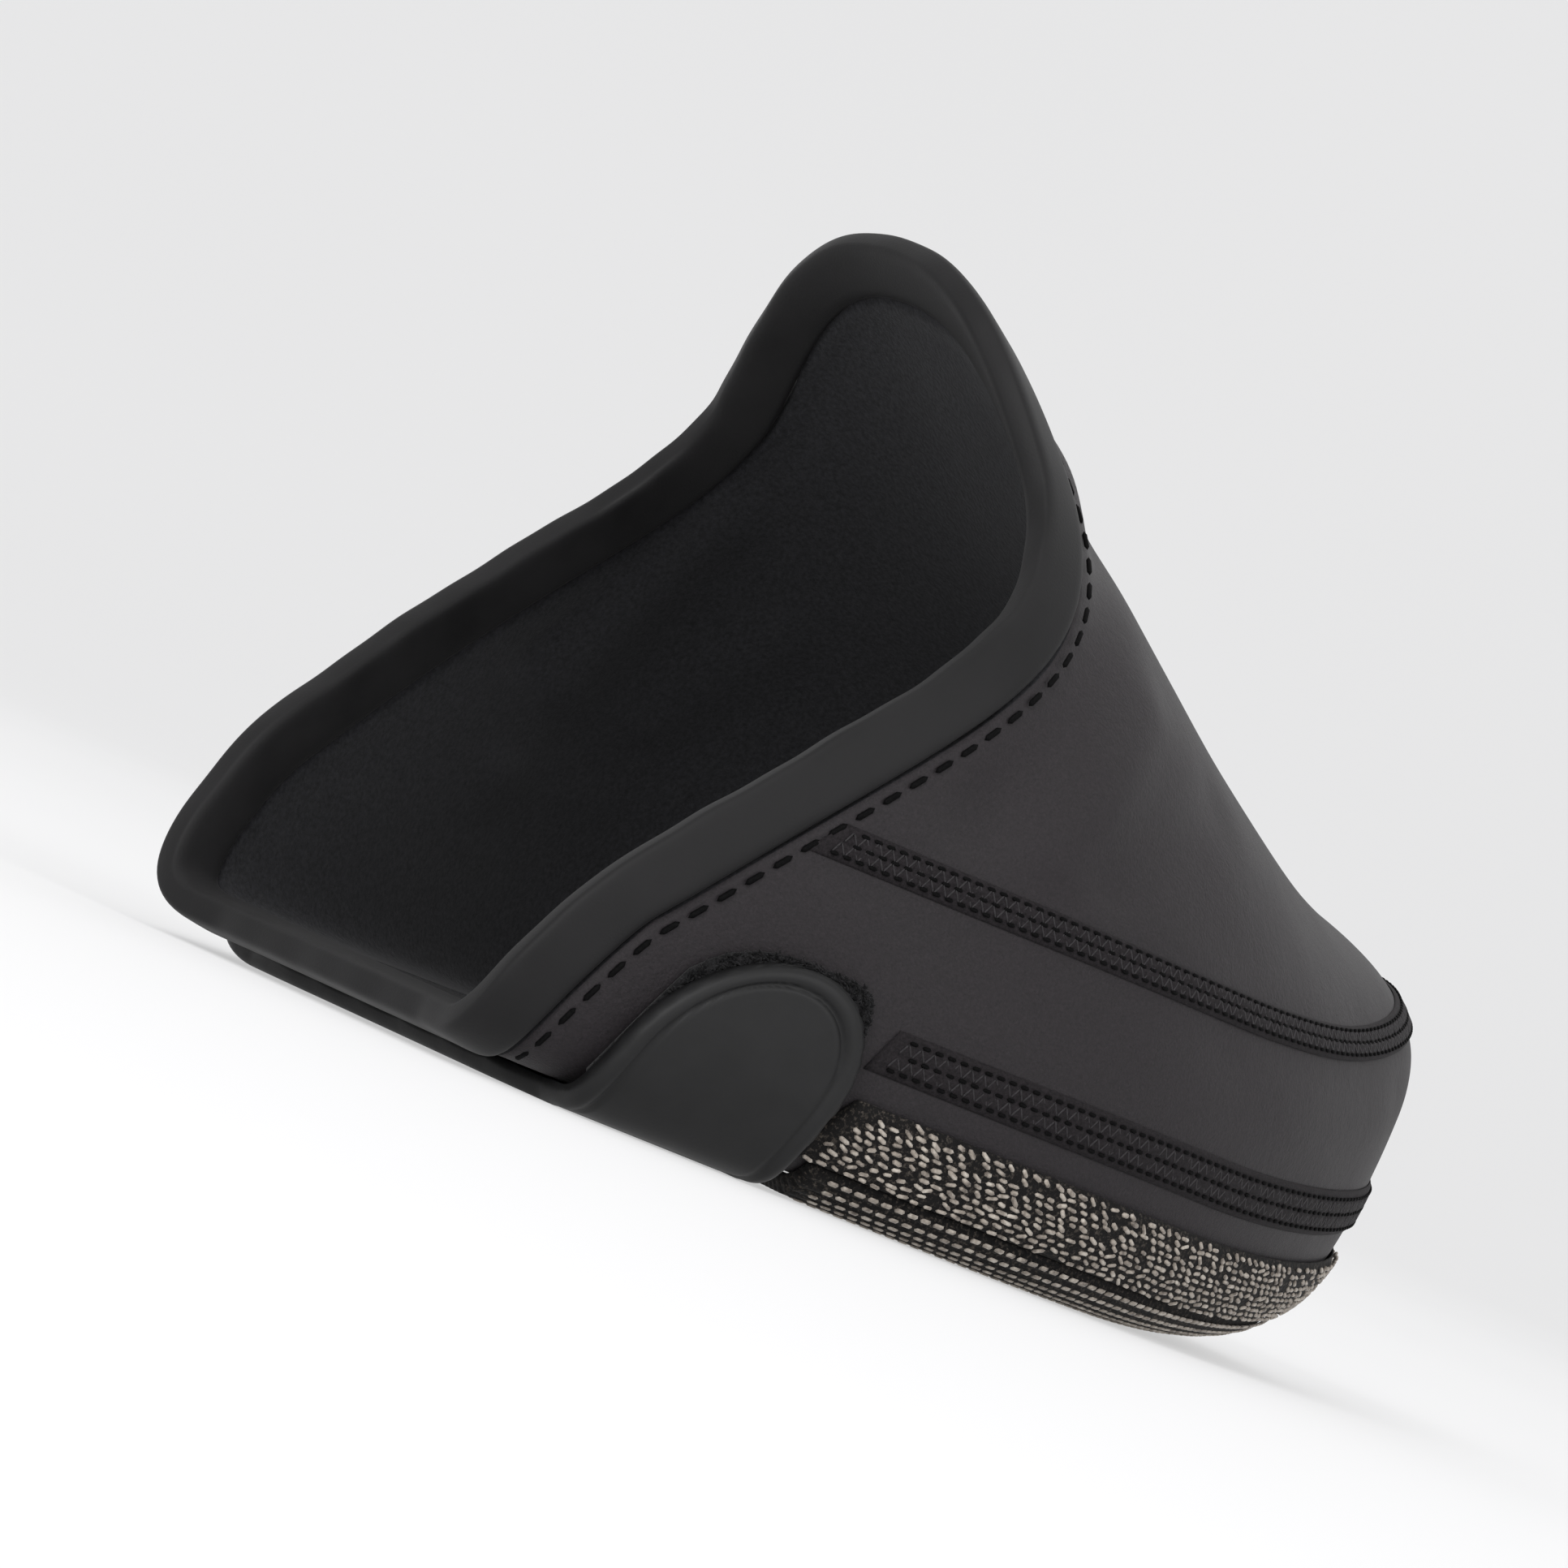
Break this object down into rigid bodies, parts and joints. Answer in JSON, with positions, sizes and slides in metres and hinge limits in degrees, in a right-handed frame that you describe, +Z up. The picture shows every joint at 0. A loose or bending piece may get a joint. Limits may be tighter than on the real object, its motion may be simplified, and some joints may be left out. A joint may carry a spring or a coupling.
{
  "type": "cycling toe cover",
  "caption": "Neoprene toe cover for a right cycling shoe: a leaning open collar with a folded hem, a woven toe guard, an open sole with a ribbed rim, and a hook strap under the arch.",
  "frame": {"origin": "Middle of the bottom: halfway along the length and the width, at the height of the strap's and the rim's underside.", "axes": "+X forward to the toe, +Y to the inner side of the right foot, +Z up."},
  "size_m": [0.1444, 0.1058, 0.0981],
  "materials": {
    "upper": "fine matte knit face on 3 mm foam rubber",
    "toe_guard": "coarse speckled weave, matte",
    "sole_rim": "ribbed speckled weave, matte",
    "guard_seam": "flat stitched seam, matte",
    "vamp_seam": "flat stitched seam, matte",
    "collar_hem": "smooth folded binding, low sheen",
    "arch_panel": "short fuzzy loops",
    "strap": "smooth matte coat",
    "loop_patch": "short fuzzy loops"
  },
  "bodies": {
    "root": {"upper": "upper", "toe_guard": "toe_guard", "sole_rim": "sole_rim", "guard_seam": "guard_seam", "vamp_seam": "vamp_seam", "collar_hem": "collar_hem", "arch_panel": "arch_panel", "strap": "strap", "loop_patch": "loop_patch"}
  },
  "joints": []
}
